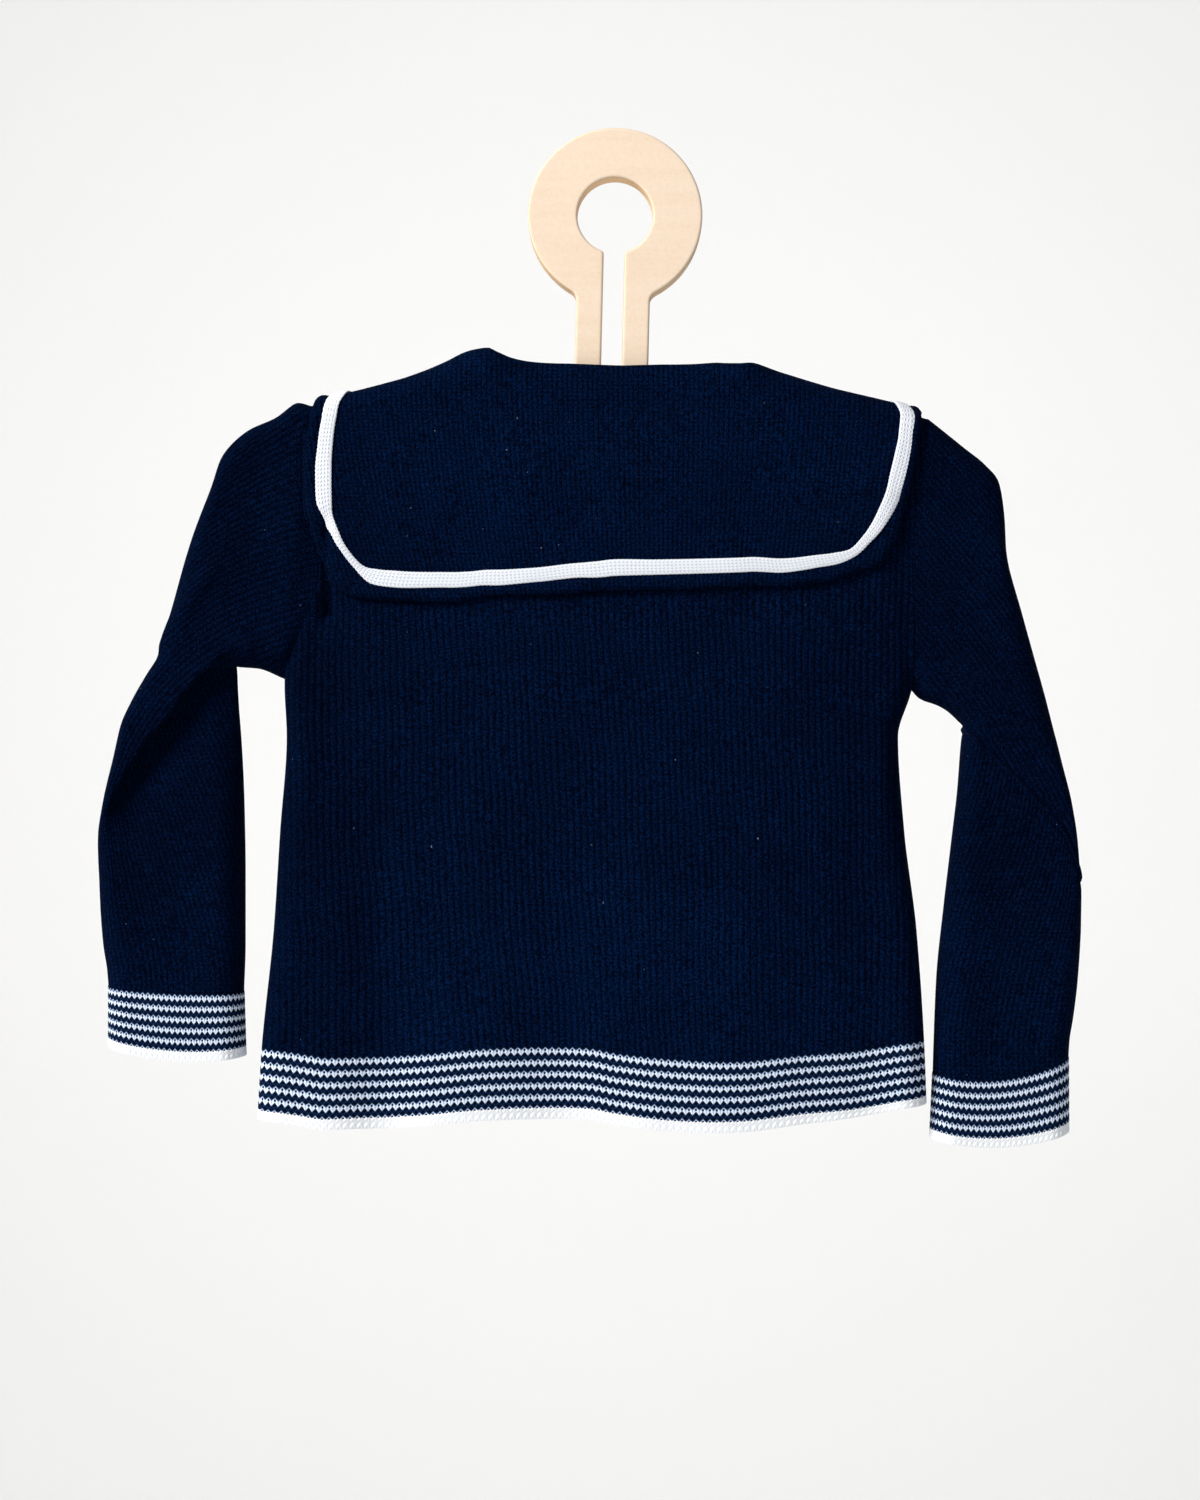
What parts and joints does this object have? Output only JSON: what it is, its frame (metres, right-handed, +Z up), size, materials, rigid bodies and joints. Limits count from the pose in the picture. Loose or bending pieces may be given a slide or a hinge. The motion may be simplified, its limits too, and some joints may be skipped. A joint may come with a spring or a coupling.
{
  "type": "child's sailor sweater on a hanger",
  "caption": "Hollow knitted pullover with a wide square sailor collar, long sleeves and striped hem and cuffs, hung flat on a flat plywood hanger with a ring head.",
  "frame": {"origin": "top of the hole in the hanger's ring, half way through the plate, where the hanger bears on its nail or peg", "axes": "+X to the viewer's right, from the sweater's left sleeve as pictured to the other; the back of the sweater faces -Y; +Z up"},
  "size_m": [0.451, 0.0351, 0.4642],
  "materials": {
    "navy_knit": "matt ribbed knit, dark navy",
    "white_knit": "matt fine knit, cool white",
    "striped_knit": "matt stockinette, white rows on navy",
    "plywood": "sanded birch plywood, unvarnished"
  },
  "bodies": {
    "root": {"back_panel": "navy_knit", "front_panel": "navy_knit", "collar": "navy_knit", "collar_trim": "white_knit", "sleeve_left": "navy_knit", "sleeve_right": "navy_knit", "cuff_left": "striped_knit", "cuff_right": "striped_knit", "cuff_edge_left": "white_knit", "cuff_edge_right": "white_knit", "hem_band_back": "striped_knit", "hem_band_front": "striped_knit", "hem_edge_back": "white_knit", "hem_edge_front": "white_knit", "hanger": "plywood"}
  },
  "joints": []
}
